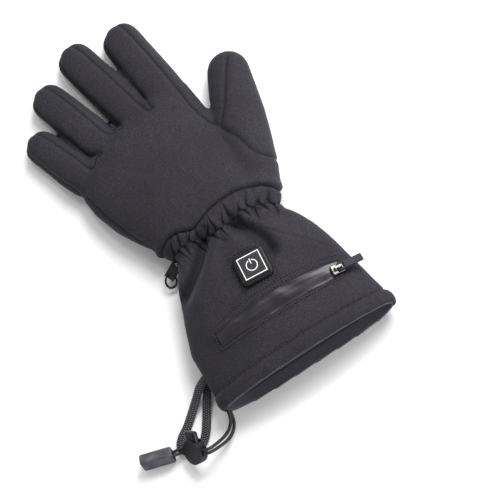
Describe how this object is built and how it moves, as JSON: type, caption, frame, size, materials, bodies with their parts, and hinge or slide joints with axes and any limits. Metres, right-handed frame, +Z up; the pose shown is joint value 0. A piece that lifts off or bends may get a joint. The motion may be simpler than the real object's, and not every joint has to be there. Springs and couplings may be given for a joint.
{
  "type": "heated glove",
  "caption": "Padded softshell gauntlet glove with gathered wrist, cuff zip, square heat button, wrist leash and cuff drawcord with a disc lock.",
  "frame": {"origin": "middle of the glove's own length and width without its cords, on the surface it lies on", "axes": "+Y from the cuff to the fingertips, +X to the thumb, +Z up out of the back of the hand"},
  "size_m": [0.2665, 0.3676, 0.0485],
  "materials": {
    "softshell": "matt softshell cloth",
    "facing": "smooth blue-black lining cloth",
    "badge_rubber": "satin moulded rubber",
    "coated_tape": "semi-gloss coated zip tape",
    "slider_metal": "dark nickel plating",
    "pull_rubber": "matt moulded rubber",
    "webbing": "woven webbing",
    "ring_plastic": "smooth black moulding",
    "braid": "braided cord",
    "elastic_cord": "shiny elastic cord",
    "moulded_plastic": "fine-textured moulding"
  },
  "bodies": {
    "glove": {"index_finger": "softshell", "middle_finger": "softshell", "ring_finger": "softshell", "little_finger": "softshell", "thumb": "softshell", "palm_shell": "softshell", "gauntlet": "softshell", "hem": "softshell", "cuff_facing": "facing", "badge_base": "badge_rubber", "badge_face": "badge_rubber", "zip_tape": "coated_tape", "zip_slider": "slider_metal", "hook_tab": "webbing", "hook_ring": "ring_plastic", "leash": "braid", "drawcord_a": "elastic_cord", "drawcord_b": "elastic_cord", "lock_body": "moulded_plastic", "cord_end": "moulded_plastic"},
    "pull": {"zip_pull": "pull_rubber"},
    "button": {"lock_button": "moulded_plastic"}
  },
  "joints": [
    {"name": "pull_hinge", "type": "hinge", "parent": "glove", "child": "pull", "pos_m": [0.05951, -0.13321, 0.03908], "axis": [-0.0941, -0.9955, 0.0114], "range_deg": [0, 150]},
    {"name": "button_press", "type": "slide", "parent": "glove", "child": "button", "axis": [-0.3873, -0.7914, -0.4729], "range_m": [0, 0.0035], "stiffness_N_per_m": 400, "springref_m": -0.003}
  ]
}
